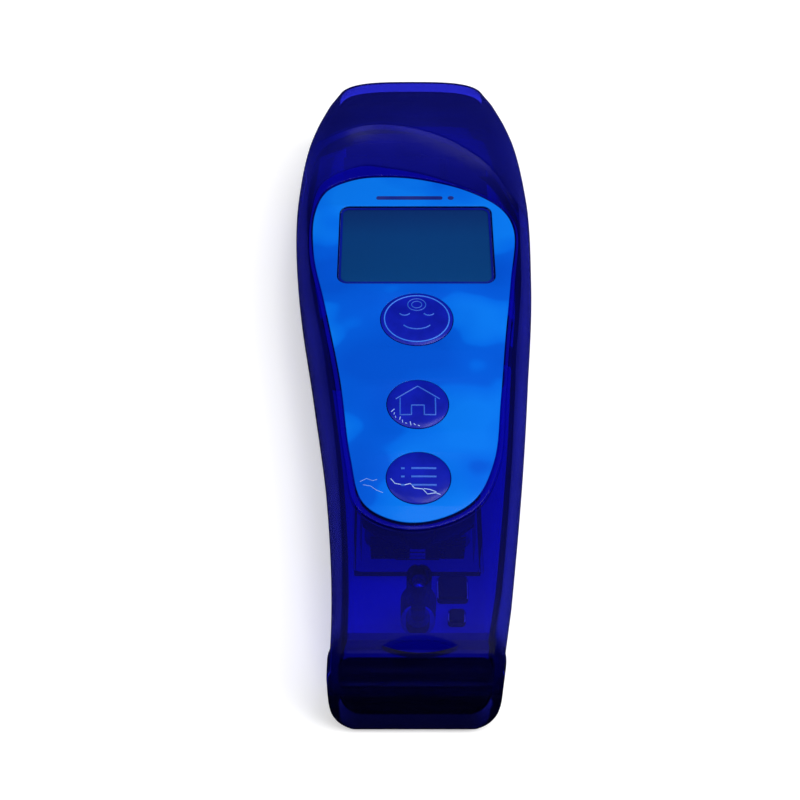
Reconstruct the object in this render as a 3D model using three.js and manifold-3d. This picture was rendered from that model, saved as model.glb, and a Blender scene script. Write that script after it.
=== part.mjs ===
// Handheld non-contact infrared thermometer in a translucent dark-blue case.
// Millimetres. The device lies on its back: +Z is the face with the display, +Y the measuring
// head, -Y the tail, +X the right-hand side. The origin is under the middle, on the rest plane.
import * as THREE from "three";
import { mergeVertices } from "three/addons/utils/BufferGeometryUtils.js";
import Module from "manifold-3d";

const wasm = await Module();
wasm.setup();

// ---- Driving dimensions -------------------------------------------------------------------
const GAP = 0.3;              // clearance between neighbouring pieces
const TIP_Y = 82.5;           // front end of the head
const TAIL_TOP_Y = -77.7;     // where the slanted end face meets the front
const TAIL_FOOT_Y = -82.5;    // where the end face meets the back
const PARTING_Z = 12.5;       // joint between the front and the rear shell
const FACE_Z = 24.8;          // flat front that carries the label
const WALL = 2;               // shell wall
const FACE_WALL = 2.4;        // wall under the flat front
const CAP_WALL = 1.7;         // wall of the protective cap
const CAP_END_WALL = 4.4;     // its thicker front end
const NECK_INSET = CAP_WALL + 0.4;  // how far the neck stands inside the cap
const NECK_END_Y = 73;        // open end of the neck
const CORNER_POWER = 3.6;     // squareness of the cross-section
const RIM_Y = -77;            // start of the slightly wider end rim
const RIM_FLARE = 0.5;        // how much wider the end rim is, per side

const LABEL_RECESS_Z = FACE_Z - 0.7;
const LABEL_BOTTOM_Z = LABEL_RECESS_Z + GAP;
const BUTTON_POCKET_Z = FACE_Z - 1.4;

const BOARD_Z = 16.4;         // underside of the main board
const BOARD_THICK = 1.6;
const BOARD_TOP_Z = BOARD_Z + BOARD_THICK;
const PART_BASE_Z = BOARD_TOP_Z + GAP;  // underside of what is mounted on the board

const CELL_RADIUS = 5.25;     // AAA cell
const CELL_LENGTH = 44.5;
const CELL_X = 5.6;           // the two columns of cells, either side of the middle
const CELL_Z = 8;
const PACK_MIDDLE_Y = -1;     // middle of the four cells

const DOOR = { halfWidth: 13, tailY: -49.5, headY: 47.3, thick: 1.8 };
const SCREW_PLACES = { tail: [0, -60.5], left: [-18.5, 0], right: [18.5, 0] };

// Half width of the body at the parting plane, along Y.
const HALF_WIDTHS = [
  [-84, 15.6], [-62, 17.3], [-40, 19.7], [-14, 23.1], [14, 26.6], [40, 27.5],
  [57, 25.8], [71, 22.4], [79, 19.9], [82.5, 18.8],
];
// Sideways place of the outline's middle, along Y: the plan bows slightly for the palm.
const MIDDLES = [[-84, -1], [-62, 0.6], [-40, 1.2], [-10, 0.6], [20, -0.4], [50, -0.7], [84, -0.7]];
// Height of the crowned front before the flat face and the scoop are cut into it.
const CROWN_HEIGHTS = [
  [-84, 28.2], [-10, 28.2], [10, 29], [36, 29], [44, 28.2], [56, 28.2], [65, 26.6], [73.5, 24],
  [82.5, 20],
];
// Height of the back: flat, then rising under the head.
const BACK_HEIGHTS = [[-84, 0], [48, 0], [64, 1.2], [76, 3.4], [82.5, 6]];
// Plan curve of the ridge where the protective cap ends, from left to right.
const RIDGE = [
  [-34, 51], [-20, 55.2], [-10, 57.6], [1.7, 55.3], [11.2, 49.8], [19.1, 41.6],
  [22.5, 34.8], [26, 31], [34, 29.5],
];
const BACK_SEAM_Y = 54;       // where the cap ends on the back
const FLANK_SEAM_Z = [5, 19]; // heights between which the seam slants across the flanks
// Upper edge of the label's clear margin, where the scoop starts, from left to right.
const MARGIN_TOP = [
  [-34, 31], [-24.2, 35], [-21.7, 41.2], [-17.9, 45.2], [-13, 46.7], [-7, 46], [1.5, 43.9],
  [8.7, 40.8], [15.6, 36.8], [20.5, 32.6], [23.4, 27.5], [34, 22],
];
// Printed label, clockwise from its left shoulder.
const LABEL_OUTLINE = [
  [-23.2, 30], [-20.6, 37.4], [-14, 41.2], [-6.5, 42], [1.5, 41.1], [12.2, 37.4], [19.8, 31.6],
  [22.3, 25], [20.8, 10], [18.8, -6], [17, -22], [14.9, -37], [10.6, -45.8], [3, -50],
  [-4.2, -50.2], [-10.6, -46.4], [-13.4, -36], [-16, -17], [-20, 3.5], [-22.9, 17.4],
];
// Clear margin round the label, clockwise from its left shoulder.
const MARGIN_OUTLINE = [
  [-24.2, 32], [-21.9, 41], [-13, 46.4], [-7, 45.8], [1.5, 43.7], [8.7, 40.6], [15.6, 36.6],
  [20.5, 32.4], [23.3, 26], [22, 10], [20, -6], [18.2, -22], [16.2, -38], [11.5, -47.6],
  [3.4, -52], [-4.8, -52.2], [-12, -47.8], [-14.8, -36], [-17.4, -17], [-21.3, 3.5], [-24.2, 18],
];
const WINDOW = { x: 0, y: 20.9, width: 34.5, height: 23, corner: 2 };
const BUTTONS = {
  face: { y: -1, width: 15.5, length: 14.2 },
  home: { y: -23.2, width: 12.5, length: 11.9 },
  memory: { y: -40.7, width: 12.5, length: 11.7 },
};
const BUTTON_TRAVEL = 0.55;
const STEM_RADIUS = 2;
const SWITCH_TOP_Z = 21.4;

// ---- Colours ------------------------------------------------------------------------------
const FINISHES = {
  blueShell: { color: 0x0b0ba8, roughness: 0.15, metalness: 0 },
  clearBlue: { color: 0x1512c8, roughness: 0.1, metalness: 0 },
  label: { color: 0x026de8, roughness: 0.35, metalness: 0 },
  button: { color: 0x1018a0, roughness: 0.3, metalness: 0 },
  window: { color: 0x0f3a70, roughness: 0.1, metalness: 0 },
  lcd: { color: 0x14505f, roughness: 0.3, metalness: 0 },
  black: { color: 0x0a0a0c, roughness: 0.5, metalness: 0 },
  board: { color: 0x0d4a2a, roughness: 0.5, metalness: 0 },
  steel: { color: 0xb8bcc2, roughness: 0.3, metalness: 1 },
  brass: { color: 0xc9a14a, roughness: 0.3, metalness: 1 },
  cell: { color: 0x8a8d92, roughness: 0.35, metalness: 0.6 },
  clear: { color: 0xdfe8f2, roughness: 0.05, metalness: 0 },
  amber: { color: 0xc97a1e, roughness: 0.4, metalness: 0 },
};

// ---- Solids and meshes --------------------------------------------------------------------
function solid(geometry) {
  const bare = geometry.clone();
  bare.deleteAttribute("normal");
  bare.deleteAttribute("uv");
  const merged = mergeVertices(bare, 1e-4);
  return new wasm.Manifold(new wasm.Mesh({
    numProp: 3,
    vertProperties: new Float32Array(merged.attributes.position.array),
    triVerts: new Uint32Array(merged.index.array),
  }));
}

function mesh(name, body, finish) {
  const data = body.getMesh();
  const geometry = new THREE.BufferGeometry();
  geometry.setAttribute("position", new THREE.BufferAttribute(data.vertProperties, 3));
  geometry.setIndex(new THREE.BufferAttribute(data.triVerts, 1));
  geometry.computeVertexNormals();
  const result = new THREE.Mesh(geometry, new THREE.MeshStandardMaterial(FINISHES[finish]));
  result.name = name;
  return result;
}

function block(x0, x1, y0, y1, z0, z1) {
  const geometry = new THREE.BoxGeometry(x1 - x0, y1 - y0, z1 - z0);
  return solid(geometry.translate((x0 + x1) / 2, (y0 + y1) / 2, (z0 + z1) / 2));
}

function rodAlongZ(x, y, radius, z0, z1, sides = 16) {
  const geometry = new THREE.CylinderGeometry(radius, radius, z1 - z0, sides);
  return solid(geometry.rotateX(Math.PI / 2).translate(x, y, (z0 + z1) / 2));
}

function rodAlongY(x, z, radius, y0, y1, sides = 16) {
  const geometry = new THREE.CylinderGeometry(radius, radius, y1 - y0, sides);
  return solid(geometry.translate(x, (y0 + y1) / 2, z));
}

// A plan outline, extruded from z0 to z1.
function plate(shape, z0, z1, curveSegments = 3) {
  const options = { depth: z1 - z0, bevelEnabled: false, curveSegments };
  return solid(new THREE.ExtrudeGeometry(shape, options).translate(0, 0, z0));
}

// A side outline of [y, z] points, extruded across the body from x0 to x1.
function sidePrism(points, x0, x1) {
  const shape = new THREE.Shape(points.map(([y, z]) => new THREE.Vector2(y, z)));
  const geometry = new THREE.ExtrudeGeometry(shape, { depth: x1 - x0, bevelEnabled: false });
  const axes = new THREE.Matrix4().makeBasis(
    new THREE.Vector3(0, 1, 0),
    new THREE.Vector3(0, 0, 1),
    new THREE.Vector3(1, 0, 0),
  );
  return solid(geometry.applyMatrix4(axes).translate(x0, 0, 0));
}

// A solid through rings that all have the same number of points, closed by flat ends.
function loft(rings) {
  const count = rings[0].length;
  const positions = rings.flat().flatMap((point) => point.toArray());
  const indices = [];
  for (let row = 0; row + 1 < rings.length; row += 1) {
    for (let i = 0; i < count; i += 1) {
      const a = row * count + i;
      const b = row * count + (i + 1) % count;
      indices.push(a, a + count, b, b, a + count, b + count);
    }
  }
  [0, rings.length - 1].forEach((row, end) => {
    const middle = rings[row].reduce((sum, point) => sum.add(point), new THREE.Vector3());
    const centre = positions.length / 3;
    positions.push(...middle.divideScalar(count).toArray());
    for (let i = 0; i < count; i += 1) {
      const a = row * count + i;
      const b = row * count + (i + 1) % count;
      indices.push(centre, ...(end === 0 ? [a, b] : [b, a]));
    }
  });
  const geometry = new THREE.BufferGeometry();
  geometry.setAttribute("position", new THREE.Float32BufferAttribute(positions, 3));
  geometry.setIndex(indices);
  return solid(geometry);
}

// ---- Curves -------------------------------------------------------------------------------
function curveThrough(points, Interpolant) {
  const inputs = points.map((point) => point[0]);
  const values = points.map((point) => point[1]);
  const interpolant = new Interpolant(inputs, values, 1);
  return (input) => interpolant.evaluate(input)[0];
}

const plainHalfWidth = curveThrough(HALF_WIDTHS, THREE.CubicInterpolant);
const middleX = curveThrough(MIDDLES, THREE.CubicInterpolant);
const crownHeight = curveThrough(CROWN_HEIGHTS, THREE.LinearInterpolant);
const backHeight = curveThrough(BACK_HEIGHTS, THREE.LinearInterpolant);
const ridgeY = curveThrough(RIDGE, THREE.CubicInterpolant);
const marginTopY = curveThrough(MARGIN_TOP, THREE.LinearInterpolant);

function halfWidth(y) {
  return plainHalfWidth(y) + (y < RIM_Y ? RIM_FLARE : 0);
}

// Height of the crowned front above a point of the plan.
function crownAt(x, y) {
  const across = Math.min(Math.abs(x - middleX(y)) / halfWidth(y), 1);
  const drop = (1 - across ** CORNER_POWER) ** (1 / CORNER_POWER);
  return PARTING_Z + (crownHeight(y) - PARTING_Z) * drop;
}

function splineShape(points) {
  const vectors = points.map(([x, y]) => new THREE.Vector3(x, y, 0));
  const curve = new THREE.CatmullRomCurve3(vectors, true, "centripetal");
  const outline = curve.getPoints(points.length * 2).slice(0, -1);
  return new THREE.Shape(outline.map((point) => new THREE.Vector2(point.x, point.y)));
}

function roundedRectangle(x, y, width, height, radius) {
  const [x0, x1] = [x - width / 2, x + width / 2];
  const [y0, y1] = [y - height / 2, y + height / 2];
  const shape = new THREE.Shape();
  shape.absarc(x1 - radius, y0 + radius, radius, -Math.PI / 2, 0);
  shape.absarc(x1 - radius, y1 - radius, radius, 0, Math.PI / 2);
  shape.absarc(x0 + radius, y1 - radius, radius, Math.PI / 2, Math.PI);
  shape.absarc(x0 + radius, y0 + radius, radius, Math.PI, Math.PI * 1.5);
  return shape;
}

function ellipse(x, y, width, length) {
  const shape = new THREE.Shape();
  shape.absellipse(x, y, width / 2, length / 2, 0, Math.PI * 2);
  return shape;
}

// ---- Case ---------------------------------------------------------------------------------
const RING_POINTS = 32;
const BACK_BULGE = 1.6;       // how far the rounded back would reach below its flat

function bodyRing(y, inset) {
  const width = halfWidth(y) - inset;
  const top = crownHeight(y) - inset;
  const back = backHeight(y) + inset;
  const ring = [];
  for (let i = 0; i < RING_POINTS; i += 1) {
    const angle = (i / RING_POINTS) * Math.PI * 2;
    const across = Math.sign(Math.cos(angle)) * Math.abs(Math.cos(angle)) ** (2 / CORNER_POWER);
    const up = Math.sign(Math.sin(angle)) * Math.abs(Math.sin(angle)) ** (2 / CORNER_POWER);
    const reach = up > 0 ? top - PARTING_Z : PARTING_Z - back + BACK_BULGE;
    const z = Math.max(PARTING_Z + up * reach, back);
    ring.push(new THREE.Vector3(middleX(y) + width * across, y, z));
  }
  return ring;
}

// The body's outline, moved in by inset, between two places along Y.
function bodyLoft(inset, y0, y1) {
  const stations = [RIM_Y - 0.8, RIM_Y, -60, -40, -20, 0, 20, 34, 46, 56, 65, 69, 73.5, 78, 80.8];
  const inner = stations.filter((y) => y > y0 + 0.1 && y < y1 - 0.1);
  return loft([y0, ...inner, y1].map((y) => bodyRing(y, inset)));
}

// Everything in front of the flat face and of the hollow that rises from it to the ridge.
function frontCut() {
  const steps = 5;
  const farY = -95;
  const aboveZ = 45;
  const rings = [];
  for (let x = -33; x <= 33; x += 3) {
    const startY = marginTopY(x);
    const endY = ridgeY(x);
    const rise = Math.max(crownAt(x, endY) - 0.5 - FACE_Z, 0.05);
    const ring = [[farY, FACE_Z]];
    for (let step = 0; step <= steps; step += 1) {
      const along = step / steps;
      ring.push([startY + (endY - startY) * along, FACE_Z + rise * along ** 1.8]);
    }
    ring.push([endY, aboveZ], [farY, aboveZ]);
    rings.push(ring.reverse().map(([y, z]) => new THREE.Vector3(x, y, z)));
  }
  return loft(rings);
}

// Everything that the protective cap covers: beyond the ridge on the front, beyond a straight
// line on the back, and beyond a slanting seam on the flanks between them.
function beyondRidge(shift) {
  const ring = (z, seam) => {
    const points = [new THREE.Vector3(-33, 100, z), new THREE.Vector3(33, 100, z)];
    for (let x = 33; x >= -33; x -= 3) {
      points.push(new THREE.Vector3(x, seam(x) + shift, z));
    }
    return points;
  };
  const back = () => BACK_SEAM_Y;
  const [low, high] = FLANK_SEAM_Z;
  return loft([ring(-10, back), ring(low, back), ring(high, ridgeY), ring(50, ridgeY)]);
}

// Everything beyond the slanted end face, moved in by inset.
function beyondTail(inset) {
  const lean = (TAIL_TOP_Y - TAIL_FOOT_Y) / FACE_Z;
  const top = TAIL_FOOT_Y + inset + lean * 40;
  const foot = TAIL_FOOT_Y + inset - lean * 10;
  return sidePrism([[-110, -10], [foot, -10], [top, 40], [-110, 40]], -40, 40);
}

const FRONT_CUT = frontCut();
const OUTER = bodyLoft(0, -84, TIP_Y).subtract(FRONT_CUT).subtract(beyondTail(0));

function caseSolid() {
  const body = OUTER.subtract(beyondRidge(-GAP / 2));
  const neck = bodyLoft(NECK_INSET, 20, NECK_END_Y).subtract(FRONT_CUT.translate(0, 0, -0.8));
  return body.add(neck);
}

function caseCavity() {
  const body = bodyLoft(WALL, -83, 70).subtract(beyondRidge(-3)).subtract(beyondTail(WALL));
  const neck = bodyLoft(NECK_INSET + CAP_WALL, 10, NECK_END_Y + 2);
  return body.add(neck).subtract(FRONT_CUT.translate(0, 0, -FACE_WALL));
}

const CASE = caseSolid();
const CAVITY = caseCavity();
const IN_FRONT = block(-50, 50, -120, 120, PARTING_Z + GAP / 2, 60);
const BEHIND = block(-50, 50, -120, 120, -20, PARTING_Z - GAP / 2);

const TAIL_INSERT = { ribY: -71.9, ribThick: 1.4, z0: 2.4, z1: 17.8 };
const FRONT_BOSS_RADIUS = 2.4;
const REAR_BOSS_RADIUS = 3.5;
const SCREW = { headRadius: 2.1, headHeight: 1.5, headZ: 1.6, radius: 1.1, tipZ: 19 };

function union(pieces) {
  return pieces.reduce((sum, piece) => sum.add(piece));
}

function screwBosses(radius, z0, z1) {
  return union(Object.values(SCREW_PLACES).map(([x, y]) => rodAlongZ(x, y, radius, z0, z1)));
}

// Eye-shaped slot for a wrist strap, cut through the front just before the end face.
function strapSlot() {
  const halfLength = 6.8;
  const shape = new THREE.Shape();
  shape.moveTo(-halfLength, -75.4);
  shape.quadraticCurveTo(0, -71.4, halfLength, -75.4);
  shape.quadraticCurveTo(0, -78.2, -halfLength, -75.4);
  return plate(shape, 18, 30, 8);
}

function frontShell() {
  const bosses = screwBosses(FRONT_BOSS_RADIUS, PARTING_Z, FACE_Z - 1).intersect(OUTER);
  let shell = CASE.subtract(CAVITY).add(bosses).intersect(IN_FRONT);
  shell = shell.subtract(plate(splineShape(MARGIN_OUTLINE), LABEL_RECESS_Z, 40));
  const opening = roundedRectangle(WINDOW.x, WINDOW.y, WINDOW.width - 1, WINDOW.height - 1, 1.5);
  shell = shell.subtract(plate(opening, 15, 40)).subtract(strapSlot());
  for (const { y, width, length } of Object.values(BUTTONS)) {
    const rim = ellipse(0, y, width + 2 * GAP, length + 2 * GAP);
    const pocket = plate(rim, BUTTON_POCKET_Z, 40, 14);
    shell = shell.subtract(pocket).subtract(rodAlongZ(0, y, STEM_RADIUS + 0.4, 15, 40));
  }
  for (const [x, y] of Object.values(SCREW_PLACES)) {
    shell = shell.subtract(rodAlongZ(x, y, SCREW.radius + GAP, PARTING_Z - 1, SCREW.tipZ + 1, 12));
  }
  return mesh("front_shell", shell, "blueShell");
}

const PLUGS = {
  service_plug: { x: 7.2, y: -53.2, width: 5.8, length: 4.8 },
  reset_plug: { x: 7.9, y: -59.4, width: 3, length: 2.6 },
};

function rearShell() {
  const bosses = screwBosses(REAR_BOSS_RADIUS, 0.5, PARTING_Z).intersect(OUTER);
  let shell = CASE.subtract(CAVITY).add(bosses).intersect(BEHIND);
  const edge = DOOR.halfWidth + GAP;
  shell = shell.subtract(block(-edge, edge, DOOR.tailY - GAP, DOOR.headY + GAP, -1, 4));
  for (const [x, y] of Object.values(SCREW_PLACES)) {
    shell = shell.subtract(rodAlongZ(x, y, SCREW.headRadius + GAP, -1, 4));
    shell = shell.subtract(rodAlongZ(x, y, SCREW.radius + GAP, 3, PARTING_Z + 1, 12));
  }
  for (const { x, y, width, length } of Object.values(PLUGS)) {
    const hole = roundedRectangle(x, y, width + 2 * GAP, length + 2 * GAP, 0.8);
    shell = shell.subtract(plate(hole, -1, 4));
  }
  return mesh("rear_shell", shell, "blueShell");
}

function protectiveCap() {
  const outside = OUTER.intersect(beyondRidge(GAP / 2));
  const inside = bodyLoft(CAP_WALL, 10, TIP_Y - CAP_END_WALL);
  return mesh("protective_cap", outside.subtract(inside), "blueShell");
}

// A block behind the end face, with a rib across the front that the wrist strap loops round.
function tailInsert() {
  const { ribY, ribThick, z0, z1 } = TAIL_INSERT;
  const lump = block(-30, 30, -90, ribY, z0, z1);
  const rib = block(-30, 30, ribY - ribThick, ribY, z0, FACE_Z - FACE_WALL - GAP);
  const notch = plate(ellipse(0, -76.8, 6.4, 4), z1 - 1, z1 + 2, 8);
  const room = bodyLoft(WALL + GAP, -84, -70).subtract(beyondTail(WALL + GAP));
  return mesh("tail_insert", lump.add(rib).intersect(room).subtract(notch), "black");
}

function caseScrew(name, [x, y]) {
  const head = rodAlongZ(x, y, SCREW.headRadius, SCREW.headZ, SCREW.headZ + SCREW.headHeight);
  const shank = rodAlongZ(x, y, SCREW.radius, SCREW.headZ + 1, SCREW.tipZ, 12);
  const slotA = block(x - 1.3, x + 1.3, y - 0.3, y + 0.3, 0, SCREW.headZ + 0.8);
  const slotB = block(x - 0.3, x + 0.3, y - 1.3, y + 1.3, 0, SCREW.headZ + 0.8);
  return mesh(name, head.add(shank).subtract(slotA).subtract(slotB), "steel");
}

function plug(name) {
  const { x, y, width, length } = PLUGS[name];
  return mesh(name, plate(roundedRectangle(x, y, width, length, 0.6), 0.2, 2.6), "black");
}

// ---- Front face ---------------------------------------------------------------------------
function frontLabel() {
  let label = plate(splineShape(LABEL_OUTLINE), LABEL_BOTTOM_Z, FACE_Z);
  const { x, y, width, height, corner } = WINDOW;
  const hole = roundedRectangle(x, y, width + 2 * GAP, height + 2 * GAP, corner + GAP);
  label = label.subtract(plate(hole, 20, 30));
  for (const button of Object.values(BUTTONS)) {
    const size = [button.width + 2 * GAP, button.length + 2 * GAP];
    label = label.subtract(plate(ellipse(0, button.y, ...size), 20, 30, 14));
  }
  return mesh("front_label", label, "label");
}

function labelMargin() {
  const scale = 1.016;
  const inner = LABEL_OUTLINE.map(([x, y]) => [x * scale, -4 + (y + 4) * scale]);
  const outer = MARGIN_OUTLINE.map(([x, y]) => [x / scale, -4 + (y + 4) / scale]);
  const film = plate(splineShape(outer), LABEL_BOTTOM_Z, FACE_Z);
  return mesh("label_margin", film.subtract(plate(splineShape(inner), 20, 30)), "clearBlue");
}

function displayWindow() {
  const { x, y, width, height, corner } = WINDOW;
  const pane = plate(roundedRectangle(x, y, width, height, corner), LABEL_BOTTOM_Z, FACE_Z);
  return mesh("display_window", pane, "window");
}

// A slightly domed oval button with a stem that reaches down to its switch.
function button(name, { y, width, length }) {
  const profile = [
    [0, LABEL_BOTTOM_Z - 0.1], [1, LABEL_BOTTOM_Z - 0.1], [1, FACE_Z], [0.93, FACE_Z + 0.25],
    [0.6, FACE_Z + 0.4], [0, FACE_Z + 0.45],
  ];
  const lathe = new THREE.LatheGeometry(profile.map(([r, z]) => new THREE.Vector2(r, z)), 28);
  lathe.rotateX(Math.PI / 2).scale(width / 2, length / 2, 1).translate(0, y, 0);
  const stem = rodAlongZ(0, y, STEM_RADIUS, SWITCH_TOP_Z + BUTTON_TRAVEL + 0.1, FACE_Z - 0.1);
  return mesh(name, solid(lathe).add(stem), "button");
}

// ---- Electronics --------------------------------------------------------------------------
const BOARD_SLIT = { x: 7.1, width: 1.8, tailY: 48.5 };
const BOARD_SCREWS = { board_screw_tail: -31.5, board_screw_head: 39 };
const BOARD_SCREW = { headRadius: 1.9, headHeight: 1.2, radius: 0.95, tipZ: 15.2 };
const TACTILE_SWITCH = { halfSide: 3, height: 2.2, plungerRadius: 1.7 };
const LCD = { halfWidth: 18.6, tailY: 8, headY: 33.8, z0: 20.2, z1: 21.9 };
const BUZZER = { y: -49, radius: 3.6, height: 2.6, portRadius: 0.8 };
const BOARD_PARTS = {
  microcontroller: { x: 0, y: -12, width: 8, length: 8, height: 1.4, finish: "black" },
  memory_chip: { x: -9.4, y: -5, width: 4, length: 5, height: 1.2, finish: "black" },
  crystal_can: { x: 7.1, y: -15.2, width: 2.2, length: 5.5, height: 1.8, finish: "steel" },
};

function boardShape() {
  const shape = new THREE.Shape();
  shape.moveTo(-17.5, 56);
  shape.lineTo(-17.5, 30);
  shape.lineTo(-13, -20);
  shape.lineTo(-11, -47);
  shape.quadraticCurveTo(0, -57, 11, -47);
  shape.lineTo(13, -20);
  shape.lineTo(17.5, 30);
  shape.lineTo(17.5, 56);
  return shape;
}

function mainBoard() {
  let board = plate(boardShape(), BOARD_Z, BOARD_TOP_Z, 8);
  for (const x of [-BOARD_SLIT.x, BOARD_SLIT.x]) {
    const [x0, x1] = [x - BOARD_SLIT.width / 2, x + BOARD_SLIT.width / 2];
    board = board.subtract(block(x0, x1, BOARD_SLIT.tailY, 60, 10, 25));
  }
  for (const y of Object.values(BOARD_SCREWS)) {
    board = board.subtract(rodAlongZ(0, y, BOARD_SCREW.radius + GAP, 10, 25, 12));
  }
  return mesh("main_board", board, "board");
}

function boardScrew(name, y) {
  const { headRadius, headHeight, radius, tipZ } = BOARD_SCREW;
  const head = rodAlongZ(0, y, headRadius, PART_BASE_Z, PART_BASE_Z + headHeight);
  const shank = rodAlongZ(0, y, radius, tipZ, PART_BASE_Z + headHeight / 2, 12);
  return mesh(name, head.add(shank), "steel");
}

// A tactile switch: a square housing with a round plunger under the button's stem.
function switchFor(name, { y }) {
  const { halfSide, height, plungerRadius } = TACTILE_SWITCH;
  const top = PART_BASE_Z + height;
  const housing = block(-halfSide, halfSide, y - halfSide, y + halfSide, PART_BASE_Z, top);
  const plunger = rodAlongZ(0, y, plungerRadius, top - 1, SWITCH_TOP_Z);
  return mesh(name, housing.add(plunger), "black");
}

function lcdPanel() {
  const { halfWidth, tailY, headY, z0, z1 } = LCD;
  return mesh("lcd_panel", block(-halfWidth, halfWidth, tailY, headY, z0, z1), "lcd");
}

// A tray round the panel, open in the middle so that the panel reaches the board's contacts.
function lcdFrame() {
  const { halfWidth, tailY, headY, z0, z1 } = LCD;
  const around = (margin, low, high) => block(
    -halfWidth - margin, halfWidth + margin, tailY - margin, headY + margin, low, high,
  );
  const outer = around(1, PART_BASE_Z, z1 - GAP);
  const inner = around(GAP, z0 - 1, z1 + 1);
  const middle = block(-15, 15, 12, 31, BOARD_Z, z1 + 1);
  return mesh("lcd_frame", outer.subtract(inner).subtract(middle), "black");
}

function zebraStrip() {
  return mesh("zebra_strip", block(-14, 14, 13, 15, PART_BASE_Z, LCD.z0 - GAP), "amber");
}

function boardPart(name, { x, y, width, length, height, finish }) {
  const [x0, x1] = [x - width / 2, x + width / 2];
  const [y0, y1] = [y - length / 2, y + length / 2];
  return mesh(name, block(x0, x1, y0, y1, PART_BASE_Z, PART_BASE_Z + height), finish);
}

function buzzer() {
  const { y, radius, height, portRadius } = BUZZER;
  const can = rodAlongZ(0, y, radius, PART_BASE_Z, PART_BASE_Z + height);
  const port = rodAlongZ(0, y, portRadius, PART_BASE_Z + 1, 30, 10);
  return mesh("buzzer", can.subtract(port), "black");
}

// ---- Measuring head -----------------------------------------------------------------------
const OPTICS = {
  z: 12.5, bracketY: 58, bracketThick: 3, tubeX: 12.6, tubeRadius: 3.8, tubeWall: 0.8,
};

function nosePlate() {
  let nose = bodyLoft(NECK_INSET + CAP_WALL + GAP, NECK_END_Y - 1.8, NECK_END_Y - 0.2);
  nose = nose.subtract(rodAlongY(0, OPTICS.z, 5.2, 60, 80, 24));
  for (const x of [-OPTICS.tubeX, OPTICS.tubeX]) {
    nose = nose.subtract(rodAlongY(x, OPTICS.z, 3, 60, 80));
  }
  return mesh("nose_plate", nose, "clearBlue");
}

function opticsBracket() {
  const { z, bracketY, bracketThick, tubeX, tubeRadius } = OPTICS;
  let bracket = block(-17, 17, bracketY, bracketY + bracketThick, 7, 21);
  bracket = bracket.add(block(-8, 8, bracketY, 70.4, 6.8, 20.6));
  bracket = bracket.subtract(rodAlongY(0, z, 5.2, 50, 80, 24));
  for (const x of [-tubeX, tubeX]) {
    bracket = bracket.subtract(rodAlongY(x, z, tubeRadius + GAP, 50, 80));
  }
  return mesh("optics_bracket", bracket, "black");
}

function irSensor() {
  const flange = rodAlongY(0, OPTICS.z, 4.6, 59.4, 60.4, 24);
  const can = rodAlongY(0, OPTICS.z, 4.1, 60, 63.4, 24);
  return mesh("ir_sensor", flange.add(can), "steel");
}

// A reflecting horn that opens towards the front of the head.
function sensorHorn() {
  const profile = [[2, 0], [4.8, 0], [4.8, 9.4], [4.3, 9.4], [2, 1.2]];
  const points = profile.map(([r, y]) => new THREE.Vector2(r, y));
  points.push(points[0].clone());
  const horn = new THREE.LatheGeometry(points, 24);
  return mesh("sensor_horn", solid(horn.translate(0, 63.8, OPTICS.z)), "brass");
}

function projectorTube(name, x) {
  const tube = rodAlongY(x, OPTICS.z, OPTICS.tubeRadius, 52, 69, 24);
  const bore = rodAlongY(x, OPTICS.z, OPTICS.tubeRadius - OPTICS.tubeWall, 50, 80);
  return mesh(name, tube.subtract(bore), "black");
}

function projectorLens(name, x) {
  const radius = OPTICS.tubeRadius - OPTICS.tubeWall - GAP;
  const profile = [[0, 65.5], [radius, 66.2], [radius, 67], [radius * 0.6, 67.8], [0, 68.1]];
  const lens = new THREE.LatheGeometry(profile.map(([r, y]) => new THREE.Vector2(r, y)), 20);
  return mesh(name, solid(lens.translate(x, 0, OPTICS.z)), "clear");
}

function led(name, x) {
  const flange = rodAlongY(x, OPTICS.z, 2.6, 52.4, 53.4);
  return mesh(name, flange.add(rodAlongY(x, OPTICS.z, 2.1, 53, 56.5)), "clear");
}

function sensorBoard() {
  return mesh("sensor_board", block(-8, 8, 56.4, 57.6, 6.5, 15.6), "board");
}

function flexCable() {
  const strip = sidePrism([
    [48.8, 15.9], [48.8, 15.6], [55.4, 15.6], [55.8, 15.2], [55.8, 8], [56.1, 8], [56.1, 15.4],
    [55.6, 15.9],
  ], -3, 3);
  return mesh("flex_cable", strip.translate(0, 0, 0.1), "amber");
}

// ---- Batteries ----------------------------------------------------------------------------
const CRADLE = {
  halfWidth: 12.7, z0: 2.4, z1: 15.2, wall: 1.1, tailY: -49.4, headY: 47.2, flange: 0.9,
};

function batteryCradle() {
  const { halfWidth: side, z0, z1, wall, tailY, headY, flange } = CRADLE;
  const pocket = CELL_LENGTH + 1.8;
  const base = block(-side - flange, side + flange, tailY - flange, headY + flange, z0, z0 + 1);
  const room = bodyLoft(WALL + GAP, -70, 60);
  let cradle = block(-side, side, tailY, headY, z0, z1).add(base.intersect(room));
  for (const direction of [-1, 1]) {
    const near = PACK_MIDDLE_Y + direction * 0.6;
    const far = near + direction * pocket;
    const [y0, y1] = [Math.min(near, far), Math.max(near, far)];
    cradle = cradle.subtract(block(wall - side, side - wall, y0, y1, 0, z1 - wall));
  }
  return mesh("battery_cradle", cradle, "black");
}

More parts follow.
